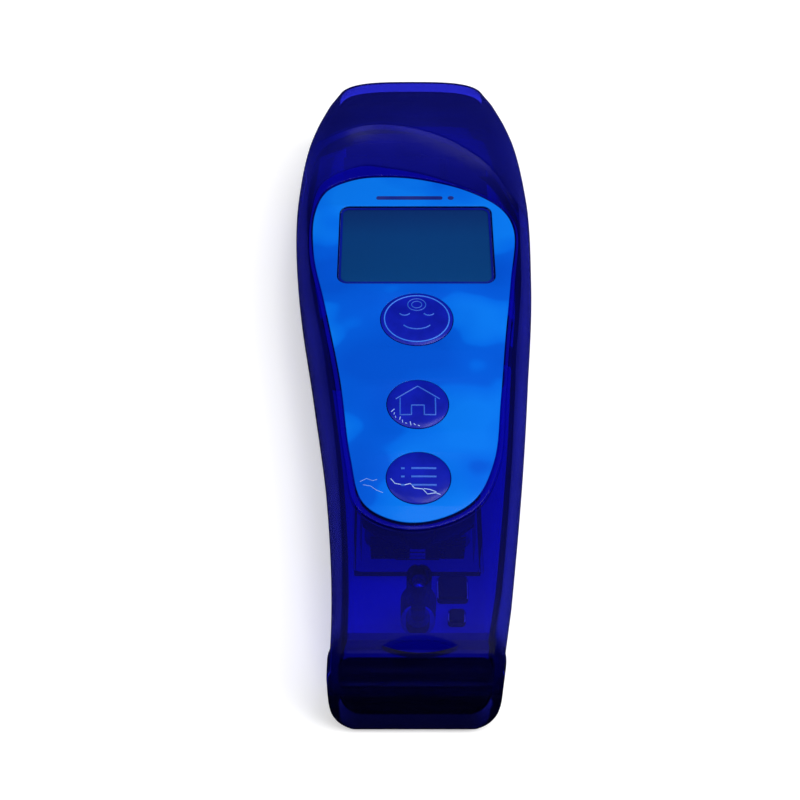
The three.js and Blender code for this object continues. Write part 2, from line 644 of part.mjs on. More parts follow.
// The cells lie in two columns, two end to end in each.
function cell(name, column, half) {
  const x = column * CELL_X;
  const inner = PACK_MIDDLE_Y + half * 1.7;
  const outer = inner + half * (CELL_LENGTH - 1);
  const nub = outer + half * (column === half ? 1 : 0);
  const base = inner - half * (column === half ? 0 : 1);
  const can = rodAlongY(x, CELL_Z, CELL_RADIUS, Math.min(inner, outer), Math.max(inner, outer), 20);
  const tip = rodAlongY(x, CELL_Z, 1.9, Math.min(base, nub), Math.max(base, nub), 12);
  return mesh(name, can.add(tip), "cell");
}

function endContact(name, column, half) {
  const y = PACK_MIDDLE_Y + half * 46.5;
  const x = column * CELL_X;
  return mesh(name, block(x - 4, x + 4, y - 0.15, y + 0.15, 4, 13), "steel");
}

function batteryDoor() {
  const { halfWidth: side, tailY, headY, thick } = DOOR;
  const radius = thick / 2;
  const panel = block(-side, side, tailY, headY - radius, 0, thick);
  const roll = new THREE.CylinderGeometry(radius, radius, 2 * side, 20).rotateZ(Math.PI / 2);
  let door = panel.add(solid(roll.translate(0, headY - radius, radius)));
  for (let i = 0; i < 5; i += 1) {
    const y = tailY + 4 + i * 2;
    door = door.subtract(block(-6, 6, y - 0.5, y + 0.5, -1, 0.5));
  }
  door = door.subtract(plate(roundedRectangle(0, 12, 20, 44, 1.5), -1, 0.6));
  return mesh("battery_door", door, "blueShell");
}

function rearLabel() {
  return mesh("rear_label", plate(roundedRectangle(0, 12, 19.4, 43.4, 1.2), 0.1, 0.3), "label");
}

// ---- Assembly -----------------------------------------------------------------------------
const device = new THREE.Group();
device.name = "infrared_thermometer";
device.add(frontShell(), rearShell(), protectiveCap(), tailInsert());
device.add(frontLabel(), labelMargin(), displayWindow(), lcdPanel(), lcdFrame(), zebraStrip());
for (const [name, place] of Object.entries(SCREW_PLACES)) {
  device.add(caseScrew(`case_screw_${name}`, place));
}
for (const name of Object.keys(PLUGS)) {
  device.add(plug(name));
}
for (const [name, size] of Object.entries(BUTTONS)) {
  device.add(button(`${name}_button`, size), switchFor(`${name}_switch`, size));
}
device.add(mainBoard(), buzzer(), sensorBoard(), flexCable());
for (const [name, y] of Object.entries(BOARD_SCREWS)) {
  device.add(boardScrew(name, y));
}
for (const [name, place] of Object.entries(BOARD_PARTS)) {
  device.add(boardPart(name, place));
}
device.add(nosePlate(), opticsBracket(), irSensor(), sensorHorn());
for (const [side, sign] of [["left", -1], ["right", 1]]) {
  const x = sign * OPTICS.tubeX;
  device.add(projectorTube(`${side}_projector_tube`, x), projectorLens(`${side}_projector_lens`, x));
  device.add(led(`${side}_led`, x));
  for (const [end, half] of [["tail", -1], ["head", 1]]) {
    device.add(cell(`cell_${end}_${side}`, sign, half));
    device.add(endContact(`contact_${end}_${side}`, sign, half));
  }
}
device.add(batteryCradle(), batteryDoor(), rearLabel());

export default device;
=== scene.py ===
import math

import bpy
import numpy as np
from mathutils import Matrix, Vector


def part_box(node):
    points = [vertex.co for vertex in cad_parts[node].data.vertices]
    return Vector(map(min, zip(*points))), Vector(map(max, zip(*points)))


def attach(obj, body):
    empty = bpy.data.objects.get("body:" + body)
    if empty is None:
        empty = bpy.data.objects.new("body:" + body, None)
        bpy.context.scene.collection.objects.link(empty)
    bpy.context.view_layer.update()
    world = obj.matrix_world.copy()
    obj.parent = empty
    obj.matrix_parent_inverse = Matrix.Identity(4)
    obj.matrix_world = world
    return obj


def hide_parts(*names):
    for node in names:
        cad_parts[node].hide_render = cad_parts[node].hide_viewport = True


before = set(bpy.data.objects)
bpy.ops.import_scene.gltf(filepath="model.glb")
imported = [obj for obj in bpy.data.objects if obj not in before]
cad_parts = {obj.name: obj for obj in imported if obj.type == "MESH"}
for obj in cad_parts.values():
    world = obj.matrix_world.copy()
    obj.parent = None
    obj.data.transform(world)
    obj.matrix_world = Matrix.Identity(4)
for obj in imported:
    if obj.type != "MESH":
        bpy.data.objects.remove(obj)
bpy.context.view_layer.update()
MM = 0.001

# ---- Shape of the case, in millimetres, as in the CAD model -------------------------------
GAP = 0.3
TIP_Y = 82.5
TAIL_Y = -82.5
PARTING_Z = 12.5
FACE_Z = 24.8
LEAN = 4.8 / 24.8             # slope of the tail's end face
LEAN_REACH = 18               # stretch over which the sections start to lean
WALL = 2
FACE_WALL = 2.4
CAP_WALL = 1.7
CAP_END_WALL = 4.4
NECK_INSET = CAP_WALL + 0.4
NECK_END_Y = 73
CORNER_POWER = 3.6
BACK_BULGE = 1.6
RIM_REACH = 5.2               # length of the slightly wider rim at the tail
RIM_FLARE = 0.45
LABEL_RECESS_Z = FACE_Z - 0.7

HALF_WIDTHS = [
    (-84, 15.6), (-62, 17.3), (-40, 19.7), (-14, 23.1), (14, 26.6), (40, 27.5),
    (57, 25.8), (71, 22.4), (79, 19.9), (82.5, 18.8),
]
MIDDLES = [(-84, -1), (-62, 0.6), (-40, 1.2), (-10, 0.6), (20, -0.4), (50, -0.7), (84, -0.7)]
CROWN_HEIGHTS = [
    (-84, 28.1), (-10, 28.1), (10, 28.9), (36, 28.9), (44, 28.1), (54, 28.1), (58, 27.9),
    (65, 26.5), (73.5, 23.9), (82.5, 19.9),
]
BACK_HEIGHTS = [(-84, 0), (48, 0), (64, 1.25), (76, 3.5), (82.5, 6.1)]
RIDGE = [
    (-34, 51), (-20, 55.2), (-10, 57.6), (1.7, 55.3), (11.2, 49.8), (19.1, 41.6),
    (22.5, 34.8), (26, 31), (34, 29.5),
]
BACK_SEAM_Y = 54
FLANK_SEAM_Z = (5, 19)
MARGIN_TOP = [
    (-34, 31), (-24.2, 35), (-21.7, 41.2), (-17.9, 45.2), (-13, 46.7), (-7, 46), (1.5, 43.9),
    (8.7, 40.8), (15.6, 36.8), (20.5, 32.6), (23.4, 27.5), (34, 22),
]
LABEL_OUTLINE = [
    (-23.2, 30), (-20.6, 37.4), (-14, 41.2), (-6.5, 42), (1.5, 41.1), (12.2, 37.4),
    (19.8, 31.6), (22.3, 25), (20.8, 10), (18.8, -6), (17, -22), (14.9, -37), (10.6, -45.8),
    (3, -50), (-4.2, -50.2), (-10.6, -46.4), (-13.4, -36), (-16, -17), (-20, 3.5), (-22.9, 17.4),
]
MARGIN_OUTLINE = [
    (-24.2, 32), (-21.9, 41), (-13, 46.4), (-7, 45.8), (1.5, 43.7), (8.7, 40.6), (15.6, 36.6),
    (20.5, 32.4), (23.3, 26), (22, 10), (20, -6), (18.2, -22), (16.2, -38), (11.5, -47.6),
    (3.4, -52), (-4.8, -52.2), (-12, -47.8), (-14.8, -36), (-17.4, -17), (-21.3, 3.5), (-24.2, 18),
]
WINDOW = {"y": 20.9, "width": 34.5, "height": 23, "corner": 2}
BUTTONS = {
    "face": {"y": -1, "width": 15.5, "length": 14.2},
    "home": {"y": -23.2, "width": 12.5, "length": 11.9},
    "memory": {"y": -40.7, "width": 12.5, "length": 11.7},
}
KEY_GAP = 0.15
DOOR_GAP = 0.12
DOOR = {"half": 13, "tail": -49.5, "head": 47.3, "thick": 1.8}
CAVITY_END_Y = 68             # where the hollow of the wide body meets that of the neck
SCOOP_DEPTH = 0.8             # how far the neck lies under the scoop
TAIL_INSERT = {"rib": -71.9, "rib_thick": 1.4, "bottom": 2.4, "top": 17.8}
FRONT_BOSS_RADIUS = 2.4
REAR_BOSS_RADIUS = 3.5
PILOT_RADIUS = 1.4
COUNTERBORE_RADIUS = 2.4
SCREW_PLACES = {"tail": (0, -60.5), "left": (-18.5, 0), "right": (18.5, 0)}
PLUGS = {
    "service_plug": {"x": 7.2, "y": -53.2, "width": 5.8, "length": 4.8},
    "reset_plug": {"x": 7.9, "y": -59.4, "width": 3, "length": 2.6},
}


# ---- Curves -------------------------------------------------------------------------------
def smooth_curve(points):
    """A smooth function through the points, with slopes taken from their neighbours."""
    xs, ys = np.array(points, float).T
    slopes = np.gradient(ys, xs)

    def value(x):
        x = min(max(x, xs[0]), xs[-1])
        i = min(int(np.searchsorted(xs, x, side="right")) - 1, len(xs) - 2)
        span = xs[i + 1] - xs[i]
        t = (x - xs[i]) / span
        start = (1 + 2 * t) * (1 - t) ** 2 * ys[i] + t * (1 - t) ** 2 * span * slopes[i]
        end = t * t * (3 - 2 * t) * ys[i + 1] + t * t * (t - 1) * span * slopes[i + 1]
        return float(start + end)

    return value


def straight_curve(points):
    xs, ys = np.array(points, float).T
    return lambda x: float(np.interp(x, xs, ys))


plain_half_width = smooth_curve(HALF_WIDTHS)
middle_x = smooth_curve(MIDDLES)
crown_height = straight_curve(CROWN_HEIGHTS)
back_height = straight_curve(BACK_HEIGHTS)
ridge_y = smooth_curve(RIDGE)
margin_top_y = smooth_curve(MARGIN_TOP)


def closed_spline(points, steps=8):
    """Points of a closed Catmull-Rom curve, with knots spaced by the root of the distance."""
    count = len(points)
    result = []
    for i in range(count):
        p = [np.array(points[(i + k - 1) % count], float) for k in range(4)]
        knots = [0.0]
        for a, b in zip(p, p[1:]):
            knots.append(knots[-1] + math.sqrt(np.linalg.norm(b - a)))
        t0, t1, t2, t3 = knots
        for step in range(steps):
            t = t1 + (t2 - t1) * step / steps
            a1 = p[0] * (t1 - t) / (t1 - t0) + p[1] * (t - t0) / (t1 - t0)
            a2 = p[1] * (t2 - t) / (t2 - t1) + p[2] * (t - t1) / (t2 - t1)
            a3 = p[2] * (t3 - t) / (t3 - t2) + p[3] * (t - t2) / (t3 - t2)
            b1 = a1 * (t2 - t) / (t2 - t0) + a2 * (t - t0) / (t2 - t0)
            b2 = a2 * (t3 - t) / (t3 - t1) + a3 * (t - t1) / (t3 - t1)
            result.append(tuple(b1 * (t2 - t) / (t2 - t1) + b2 * (t - t1) / (t2 - t1)))
    return result


def rounded_rectangle(x, y, width, height, radius, steps=8):
    points = []
    corners = [(1, -1, -90), (1, 1, 0), (-1, 1, 90), (-1, -1, 180)]
    for sx, sy, start in corners:
        cx = x + sx * (width / 2 - radius)
        cy = y + sy * (height / 2 - radius)
        for step in range(steps + 1):
            angle = math.radians(start + 90 * step / steps)
            points.append((cx + radius * math.cos(angle), cy + radius * math.sin(angle)))
    return points


def ellipse(x, y, width, length, steps=72):
    angles = [math.tau * i / steps for i in range(steps)]
    return [(x + width / 2 * math.cos(a), y + length / 2 * math.sin(a)) for a in angles]


# ---- Meshes -------------------------------------------------------------------------------
def link(name, mesh):
    piece = bpy.data.objects.new(name, mesh)
    bpy.context.scene.collection.objects.link(piece)
    return piece


def mesh_piece(name, points, faces):
    mesh = bpy.data.meshes.new(name)
    mesh.from_pydata([(x * MM, y * MM, z * MM) for x, y, z in points], [], faces)
    return link(name, mesh)


def loft(name, rings):
    """A closed mesh through rings of equal length, with flat ends."""
    count = len(rings[0])
    faces = []
    for row in range(len(rings) - 1):
        for i in range(count):
            a = row * count + i
            b = row * count + (i + 1) % count
            faces.append((a, a + count, b + count, b))
    last = (len(rings) - 1) * count
    faces.append(tuple(range(count)))
    faces.append(tuple(last + i for i in reversed(range(count))))
    return mesh_piece(name, [point for ring in rings for point in ring], faces)


def lathe(name, profile, origin, axis="Y", sides=64):
    """A solid of revolution. The profile is (radius, place along the axis), end to end."""
    points, faces = [], []
    for radius, along in profile:
        for i in range(sides):
            angle = math.tau * i / sides
            points.append((radius * math.cos(angle), radius * math.sin(angle), along))
    for row in range(len(profile) - 1):
        for i in range(sides):
            a = row * sides + i
            b = row * sides + (i + 1) % sides
            faces.append((a, b, b + sides, a + sides))
    last = (len(profile) - 1) * sides
    faces.append(tuple(reversed(range(sides))))
    faces.append(tuple(last + i for i in range(sides)))
    if axis == "Y":
        points = [(x, z, -y) for x, y, z in points]
    return mesh_piece(name, [tuple(np.add(point, origin)) for point in points], faces)


def block(name, low, high):
    points = [(x, y, z) for x in (low[0], high[0]) for y in (low[1], high[1])
              for z in (low[2], high[2])]
    faces = [(0, 1, 3, 2), (4, 6, 7, 5), (0, 4, 5, 1), (2, 3, 7, 6), (0, 2, 6, 4), (1, 5, 7, 3)]
    return mesh_piece(name, points, faces)


def prism(name, outline, z0, z1):
    """An outline in plan, drawn anticlockwise or clockwise, as a plain upright solid."""
    area = sum(a[0] * b[1] - b[0] * a[1] for a, b in zip(outline, outline[1:] + outline[:1]))
    points = outline if area < 0 else outline[::-1]
    return loft(name, [[(x, y, z0) for x, y in points], [(x, y, z1) for x, y in points]])


def apply_modifiers(piece):
    graph = bpy.context.evaluated_depsgraph_get()
    graph.update()
    made = bpy.data.meshes.new_from_object(piece.evaluated_get(graph))
    piece.modifiers.clear()
    piece.data = made
    return piece


def discard(piece):
    bpy.data.objects.remove(piece, do_unlink=True)


def combine(piece, other, operation, keep=False):
    modifier = piece.modifiers.new("combine", "BOOLEAN")
    modifier.object = other
    modifier.operation = operation
    modifier.solver = "MANIFOLD"
    apply_modifiers(piece)
    if not keep:
        discard(other)
    return piece


def cut(piece, other, keep=False):
    return combine(piece, other, "DIFFERENCE", keep)


def duplicate(piece, name, shift=(0, 0, 0)):
    other = link(name, piece.data.copy())
    other.data.transform(Matrix.Translation(Vector(shift) * MM))
    return other


def bevel(piece, width, segments=2, angle=35):
    modifier = piece.modifiers.new("bevel", "BEVEL")
    modifier.width = width * MM
    modifier.segments = segments
    modifier.angle_limit = math.radians(angle)
    return apply_modifiers(piece)


def smooth(piece, angle=32):
    mesh = piece.data
    mesh.polygons.foreach_set("use_smooth", [True] * len(mesh.polygons))
    mesh.set_sharp_from_angle(angle=math.radians(angle))
    return piece


def flat_piece(name, outlines, z0, z1, edge=0.0):
    """A plate between z0 and z1 with rounded edges. Outlines after the first are holes."""
    curve = bpy.data.curves.new(name, "CURVE")
    curve.dimensions = "2D"
    curve.fill_mode = "BOTH"
    curve.extrude = ((z1 - z0) / 2 - edge) * MM
    curve.bevel_depth = edge * MM
    curve.bevel_resolution = 2
    curve.offset = -edge * MM
    for outline in outlines:
        spline = curve.splines.new("POLY")
        spline.points.add(len(outline) - 1)
        for point, (x, y) in zip(spline.points, outline):
            point.co = (x * MM, y * MM, 0, 1)
        spline.use_cyclic_u = True
    source = link(name + "_curve", curve)
    graph = bpy.context.evaluated_depsgraph_get()
    graph.update()
    mesh = bpy.data.meshes.new_from_object(source.evaluated_get(graph))
    discard(source)
    mesh.transform(Matrix.Translation((0, 0, (z0 + z1) / 2 * MM)))
    piece = link(name, mesh)
    weld = piece.modifiers.new("weld", "WELD")
    weld.merge_threshold = 0.002 * MM
    return smooth(apply_modifiers(piece))


def line(name, paths, radius, closed=False):
    """Thin round lines through lists of points, as one mesh."""
    curve = bpy.data.curves.new(name, "CURVE")
    curve.dimensions = "3D"
    curve.bevel_depth = radius * MM
    curve.bevel_resolution = 2
    curve.use_fill_caps = True
    for path in paths:
        spline = curve.splines.new("POLY")
        spline.points.add(len(path) - 1)
        for point, place in zip(spline.points, path):
            point.co = (*(Vector(place) * MM), 1)
        spline.use_cyclic_u = closed
    source = link(name + "_curve", curve)
    graph = bpy.context.evaluated_depsgraph_get()
    graph.update()
    mesh = bpy.data.meshes.new_from_object(source.evaluated_get(graph))
    discard(source)
    return smooth(link(name, mesh), 60)


# ---- Body sections ------------------------------------------------------------------------
RING_POINTS = 160


def section(y, inset, lean=0.0, flare=0.0, bow=0.0):
    """One ring of the body's outline, at y on the back, moved in by inset."""
    width = plain_half_width(y) + flare - inset
    middle = middle_x(y)
    top = crown_height(y) - inset
    back = back_height(y) + inset
    ring = []
    for i in range(RING_POINTS):
        angle = math.tau * i / RING_POINTS
        across = math.copysign(abs(math.cos(angle)) ** (2 / CORNER_POWER), math.cos(angle))
        up = math.copysign(abs(math.sin(angle)) ** (2 / CORNER_POWER), math.sin(angle))
        reach = top - PARTING_Z if up > 0 else PARTING_Z - back + BACK_BULGE
        z = max(PARTING_Z + up * reach, back)
        x = middle + width * across
        ring.append((x, y + lean * LEAN * z - bow * (x / 15) ** 2, z))
    return ring


def body_loft(name, inset, tail, head, fillet=0.0):
    """The body's outline between two places along Y. Near the tail the sections lean."""
    rings = []
    round_steps = [] if fillet == 0 else [0, 0.08, 0.3, 0.6, 1]
    stations = [tail + fillet + (head - tail - 2 * fillet) * i / 150 for i in range(151)]
    stations += [y for y in (73.5, 54, 58) if tail + fillet < y < head - fillet]
    for share in round_steps:
        drop = fillet * (1 - math.sqrt(1 - (1 - share) ** 2))
        rings.append((tail + fillet * share, drop))
    rings += [(y, 0) for y in sorted(stations)]
    for share in reversed(round_steps):
        drop = fillet * (1 - math.sqrt(1 - (1 - share) ** 2))
        rings.append((head - fillet * share, drop))
    result = []
    last = None
    for y, drop in rings:
        if last is not None and y - last < 0.01:
            continue
        last = y
        end = y - TAIL_Y
        lean = min(max(1 - end / LEAN_REACH, 0), 1)
        rise = min(max((RIM_REACH - end) / 0.6, 0), 1)
        bow = 0.3 * min(max((y - 74) / 8.5, 0), 1)
        result.append(section(y, inset + drop, lean, RIM_FLARE * rise, bow))
    return loft(name, result)


def crown_at(x, y):
    across = min(abs(x - middle_x(y)) / plain_half_width(y), 1)
    drop = (1 - across ** CORNER_POWER) ** (1 / CORNER_POWER)
    return PARTING_Z + (crown_height(y) - PARTING_Z) * drop


def front_cut(name, step_height=0.45):
    """What lies in front of the flat face and of the scoop that rises to the ridge."""
    rings = []
    steps = 16
    for x in np.arange(-33, 33.1, 0.75):
        start, end = margin_top_y(x), ridge_y(x)
        rise = max(crown_at(x, end) - step_height - FACE_Z, 0.04)
        ring = [(x, -95, FACE_Z)]
        for i in range(steps + 1):
            along = i / steps
            ring.append((x, start + (end - start) * along, FACE_Z + rise * along ** 1.9))
        ring += [(x, end, 45), (x, -95, 45)]
        rings.append(ring[::-1])
    return loft(name, rings)


def beyond_ridge(name, shift):
    """What the cap covers: beyond the ridge in front, a straight line behind, a slant between."""
    def ring(z, seam):
        points = [(-33, 100, z), (33, 100, z)]
        return points + [(x, seam(x) + shift, z) for x in np.arange(33, -33.1, -0.75)]

    low, high = FLANK_SEAM_Z
    levels = [-10, low] + list(np.linspace(low, high, 13)[1:]) + [50]
    rings = []
    for z in levels:
        share = min(max((z - low) / (high - low), 0), 1)
        rings.append(ring(z, lambda x, t=share: BACK_SEAM_Y + (ridge_y(x) - BACK_SEAM_Y) * t))
    return loft(name, rings)


def tail_crease(radius):
    """What a round of this radius takes off the edge between the front and the end face."""
    tilt = math.atan(LEAN)
    centre_z = FACE_Z - radius
    centre_y = TAIL_Y + LEAN * centre_z + radius / math.cos(tilt)
    outline = []
    for angle in np.linspace(math.pi / 2, math.pi - tilt, 8):
        outline.append((centre_y + radius * math.cos(angle), centre_z + radius * math.sin(angle)))
    foot_y, foot_z = outline[-1]
    outline += [(foot_y - 10, foot_z + 10 * LEAN), (foot_y - 10, 45), (centre_y, 45)]
    return loft("crease", [[(x, y, z) for y, z in outline[::-1]] for x in (-40, 40)])


def rod(name, x, y, radius, z0, z1, sides=48):
    return lathe(name, [(radius, z0), (radius, z1)], (x, y, 0), "Z", sides)


# ---- Materials ----------------------------------------------------------------------------
class Nodes:
    """A material's node tree, with short ways to add and join nodes."""

    def __init__(self, name):
        self.material = bpy.data.materials.new(name)
        self.material.use_nodes = True
        self.tree = self.material.node_tree
        self.tree.nodes.clear()
        coordinates = self.add("ShaderNodeTexCoord")
        self.place = coordinates.outputs["Object"]
        self.direction = coordinates.outputs["Normal"]

    def add(self, kind, values=None, **settings):
        node = self.tree.nodes.new(kind)
        for key, value in settings.items():
            setattr(node, key, value)
        for key, value in (values or {}).items():
            if isinstance(value, bpy.types.NodeSocket):
                self.tree.links.new(value, node.inputs[key])
            else:
                node.inputs[key].default_value = value
        return node

    def noise(self, scale, detail=3.0, roughness=0.55, stretch=None):
        place = self.place
        if stretch:
            place = self.add("ShaderNodeMapping", {"Vector": place, "Scale": stretch}).outputs[0]
        values = {"Vector": place, "Scale": scale, "Detail": detail, "Roughness": roughness}
        return self.add("ShaderNodeTexNoise", values).outputs["Fac"]

    def ramp(self, factor, *stops):
        node = self.add("ShaderNodeValToRGB", {"Fac": factor})
        elements = node.color_ramp.elements
        while len(elements) < len(stops):
            elements.new(0.5)
        for element, (place, colour) in zip(elements, stops):
            element.position = place
            element.color = (*colour, 1)
        return node.outputs["Color"]

    def range(self, value, low, high, start=0.0, end=1.0):
        """The value, moved from the span start to end into the span low to high."""
        values = {"Value": value, "From Min": start, "From Max": end, "To Min": low, "To Max": high}
        return self.add("ShaderNodeMapRange", values).outputs[0]

    def bump(self, height, strength, distance, normal=None):
        values = {"Height": height, "Strength": strength, "Distance": distance}
        if normal is not None:
            values["Normal"] = normal
        return self.add("ShaderNodeBump", values).outputs[0]

    def principled(self, **values):
        named = {key.replace("_", " "): value for key, value in values.items()}
        return self.add("ShaderNodeBsdfPrincipled", named).outputs[0]

    def mix(self, factor, first, second):
        node = self.add("ShaderNodeMixShader", {0: factor})
        self.tree.links.new(first, node.inputs[1])
        self.tree.links.new(second, node.inputs[2])
        return node.outputs[0]

    def finish(self, shader):
        output = self.add("ShaderNodeOutputMaterial")
        self.tree.links.new(shader, output.inputs["Surface"])
        return self.material


PAINTED_SHADE_SPAN = (1.5, 6.5)         # stretch from the end face over which the painted shade fades out, mm
HEAD_START = (30, 46)         # stretch along Y over which the head's haze sets in, mm


def translucent(name, tint, body, clear_haze, head_haze, wall_haze, ior=1.25):
    """See-through plastic, cloudier in the side walls and the head, with painted shade that darkens
    it at the tail end.
    """
    n = Nodes(name)
    cloud = n.noise(55, 3)
    waves = n.bump(n.noise(120, 2), 0.12, 0.0002)
    normal = n.bump(n.noise(900, 2), 0.05, 0.00002, waves)
    along = n.add("ShaderNodeSeparateXYZ", {"Vector": n.place}).outputs["Y"]
    height = n.add("ShaderNodeSeparateXYZ", {"Vector": n.place}).outputs["Z"]
    facing = n.add("ShaderNodeSeparateXYZ", {"Vector": n.direction}).outputs["Z"]
    upright = n.add("ShaderNodeMath", {0: facing}, operation="ABSOLUTE").outputs[0]
    # Steep is 1 on upright walls and 0 on faces that look up or down.
    steep = n.range(upright, 1, 0, 0.55, 0.95)
    # Painted shade: end is 0 at the end face and 1 a little way in, and darkens the see-through
    # tint there. The change comes later near the back.
    level = n.add("ShaderNodeMath", {0: height, 1: -LEAN, 2: along}, operation="MULTIPLY_ADD")
    setback = n.range(height, 5 * MM, 0, 0, 8 * MM)
    depth = n.add("ShaderNodeMath", {0: level.outputs[0], 1: setback}, operation="SUBTRACT")
    end = n.range(depth.outputs[0], 0, 1, (TAIL_Y + PAINTED_SHADE_SPAN[0]) * MM, (TAIL_Y + PAINTED_SHADE_SPAN[1]) * MM)
    # Painted shade: the end face is darkest at its lower edge.
    low = n.range(height, 0, 0.5, 2 * MM, 14 * MM)
    shade = n.add("ShaderNodeMath", {0: end, 1: low}, operation="MAXIMUM").outputs[0]
    share = n.range(along, clear_haze, head_haze, HEAD_START[0] * MM, HEAD_START[1] * MM)
    share = n.range(steep, share, wall_haze)
    # Near the end face the haze fades out too, so the painted shade stays dark.
    share = n.range(end, 0.008, share)
    dark = tuple(part * 0.75 for part in body)
    colour = n.ramp(cloud, (0.3, dark), (0.7, body))
    # Painted shade: the see-through tint drops to a fifth of its colour where shade falls to 0 at
    # the tail end.
    stops = [(place, tuple(part * light for part in tint))
             for place, light in ((0, 0.2), (0.35, 0.75), (0.5, 0.95), (0.9, 0.95), (1, 1))]
    clear = n.add("ShaderNodeBsdfTransparent", {"Color": n.ramp(shade, *stops)})
    milk = n.add("ShaderNodeBsdfDiffuse", {"Color": colour, "Normal": normal}).outputs[0]
    inside = n.mix(share, clear.outputs[0], milk)
    gloss = n.add("ShaderNodeBsdfGlossy", {"Roughness": 0.2, "Normal": normal}).outputs[0]
    rim = n.add("ShaderNodeFresnel", {"IOR": ior, "Normal": normal}).outputs[0]
    return n.finish(n.mix(rim, inside, gloss))


def moulded(name, low, high, roughness, grain=700, relief=0.00003, metallic=0.0, coat=0.0):
    """Moulded plastic, rubber or metal with a fine grain and a slightly uneven tone."""
    n = Nodes(name)
    tone = n.ramp(n.noise(90, 4), (0.3, low), (0.7, high))
    normal = n.bump(n.noise(grain, 3), 0.35, relief)
    rough = n.range(n.noise(240, 3), roughness * 0.8, min(roughness * 1.25, 1), 0.3, 0.7)
    shader = n.principled(Base_Color=tone, Roughness=rough, Normal=normal, Metallic=metallic,
                          Coat_Weight=coat, Coat_Roughness=0.1)
    return n.finish(shader)


def tail_material():
    """Black plastic whose upper edge is painted dark blue, as painted light falling from above."""
    n = Nodes("tail_plastic")
    height = n.add("ShaderNodeSeparateXYZ", {"Vector": n.place}).outputs["Z"]
    # Painted light: above about 17.7 mm the tone turns dark blue, as if lit from above.
    tone = n.ramp(n.range(height, 0, 1, 0.0170, 0.0177), (0, (0.001, 0.001, 0.003)),
                  (1, (0.003, 0.003, 0.30)))
    normal = n.bump(n.noise(700, 3), 0.35, 0.00003)
    return n.finish(n.principled(Base_Color=tone, Roughness=0.5, Specular_IOR_Level=0.08,
                                 Normal=normal))


def label_material():
    """Printed film under a clear, slightly wavy laminate, with soft lighter and darker clouds
    painted into the print colour as reflections.
    """
    n = Nodes("printed_film")
    # Painted reflection: soft lighter and darker clouds in the print colour.
    painted_reflection_clouds = n.noise(48, 2, 0.45, (0.8, 1, 1))
    tone = n.ramp(painted_reflection_clouds, (0.36, (0.0003, 0.075, 0.56)), (0.48, (0.0004, 0.092, 0.62)),
                  (0.505, (0.0006, 0.125, 0.70)), (0.6, (0.002, 0.165, 0.76)))
    waves = n.bump(n.noise(42, 2, 0.4), 0.35, 0.0006)
    normal = n.bump(n.noise(1500, 2), 0.15, 0.00002, waves)
    shader = n.principled(Base_Color=tone, Roughness=0.42, Specular_IOR_Level=0.03, Normal=normal,
                          Coat_Weight=0.15, Coat_Roughness=0.12, Coat_IOR=1.35)
    return n.finish(shader)


def button_material():
    n = Nodes("button_film")
    tone = n.ramp(n.noise(160, 3), (0.35, (0.002, 0.007, 0.29)), (0.7, (0.004, 0.012, 0.42)))
    waves = n.bump(n.noise(160, 2), 0.3, 0.0002)
    shader = n.principled(Base_Color=tone, Roughness=0.35, Specular_IOR_Level=0.1, Normal=waves,
                          Coat_Weight=0.3, Coat_Roughness=0.12, Coat_IOR=1.35)
    return n.finish(shader)


def lcd_material():
    """Unlit liquid-crystal panel: greenish blue, darker towards its upper edge."""
    n = Nodes("liquid_crystal")
    split = n.add("ShaderNodeSeparateXYZ", {"Vector": n.place}).outputs["Y"]
    fade = n.range(split, 0, 1, 0.010, 0.033)
    tone = n.ramp(fade, (0.0, (0.017, 0.105, 0.24)), (0.6, (0.019, 0.095, 0.235)),
                  (1.0, (0.024, 0.055, 0.18)))
    normal = n.bump(n.noise(2200, 2), 0.1, 0.00001)
    return n.finish(n.principled(Base_Color=tone, Roughness=0.4, Specular_IOR_Level=0.1,
                                 Normal=normal))


def window_material():
    n = Nodes("window_pane")
    normal = n.bump(n.noise(70, 2), 0.15, 0.0002)
    clear = n.add("ShaderNodeBsdfTransparent", {"Color": (0.62, 0.80, 0.92, 1)}).outputs[0]
    gloss = n.add("ShaderNodeBsdfGlossy", {"Roughness": 0.25, "Normal": normal}).outputs[0]
    rim = n.add("ShaderNodeFresnel", {"IOR": 1.15, "Normal": normal}).outputs[0]
    return n.finish(n.mix(rim, clear, gloss))


def board_material():
    """Green solder mask with copper tracks shining faintly through."""
    n = Nodes("solder_mask")
    grid = n.add("ShaderNodeTexBrick", {"Vector": n.place, "Scale": 420.0, "Mortar Size": 0.02,
                 "Color1": (0.008, 0.075, 0.03, 1), "Color2": (0.012, 0.11, 0.045, 1),
                 "Mortar": (0.03, 0.2, 0.08, 1)}).outputs["Color"]
    normal = n.bump(n.noise(900, 2), 0.3, 0.00003)
    return n.finish(n.principled(Base_Color=grid, Roughness=0.4, Normal=normal))


def lens_material():
    n = Nodes("clear_optics")
    normal = n.bump(n.noise(300, 1), 0.05, 0.00002)
    glass = n.add("ShaderNodeBsdfGlass", {"Color": (0.93, 0.97, 1.0, 1), "Roughness": 0.03,
                  "IOR": 1.5, "Normal": normal}).outputs[0]
    return n.finish(glass)


def battery_material():
    """Metal sleeve of a cell, brushed silver grey round its length."""
    n = Nodes("cell_sleeve")
    grain = n.noise(60, 4, 0.6, (1, 30, 30))
    tone = n.ramp(grain, (0.3, (0.42, 0.44, 0.50)), (0.7, (0.60, 0.62, 0.68)))
    normal = n.bump(grain, 0.2, 0.00003)
    shader = n.principled(Base_Color=tone, Roughness=0.35, Metallic=0.2, Normal=normal)
    return n.finish(shader)


